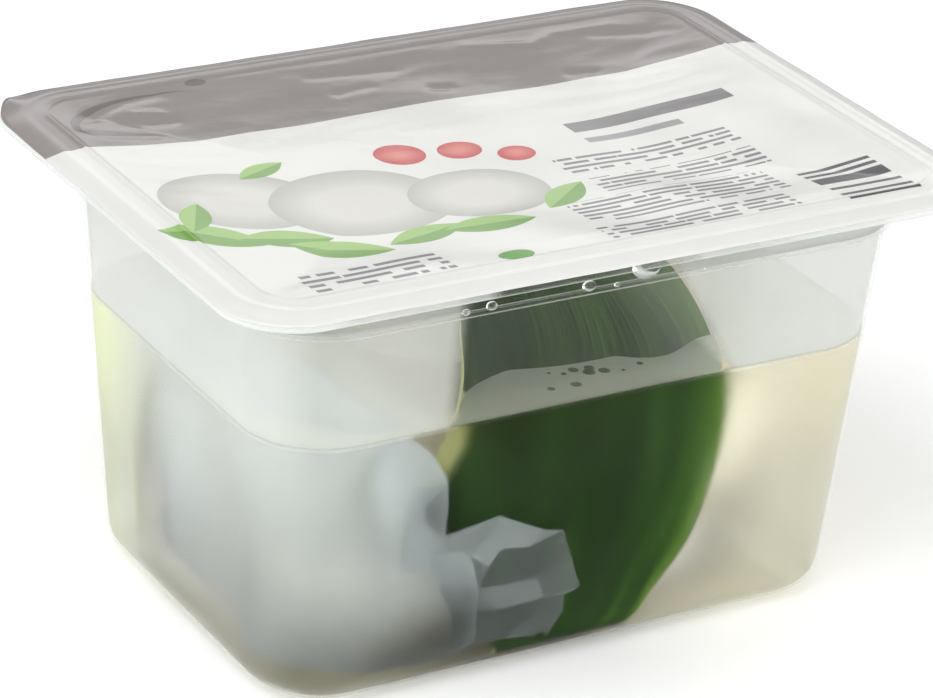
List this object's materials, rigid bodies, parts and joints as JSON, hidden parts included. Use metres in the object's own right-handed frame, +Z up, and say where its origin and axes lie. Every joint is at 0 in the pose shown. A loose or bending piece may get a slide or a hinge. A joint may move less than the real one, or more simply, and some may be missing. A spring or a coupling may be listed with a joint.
{
  "type": "burrata in brine in a sealed tub",
  "caption": "Fresh burrata with a green leaf and gathered film bag in milky brine, sealed in a frosted rounded-rectangle tub under a plain printed film.",
  "frame": {"origin": "on the ground under the middle of the tub's base", "axes": "+Z up, +X along the tub's long side, +Y to the back, away from the side that shows the leaf"},
  "size_m": [0.147, 0.1076, 0.083],
  "materials": {
    "tub": "frosted translucent polypropylene, thermoformed, smooth outside",
    "lid_film": null,
    "brine": "milky whey brine, translucent",
    "burrata": "fresh curd, smooth, moist, creamy white",
    "leaf": "broad green leaf with fine lengthwise veins, wet",
    "film_bag": "thin crumpled translucent film"
  },
  "bodies": {
    "root": {"tub": "tub", "lid_film": "lid_film", "brine": "brine", "burrata": "burrata", "leaf": "leaf", "film_bag": "film_bag"}
  },
  "joints": []
}
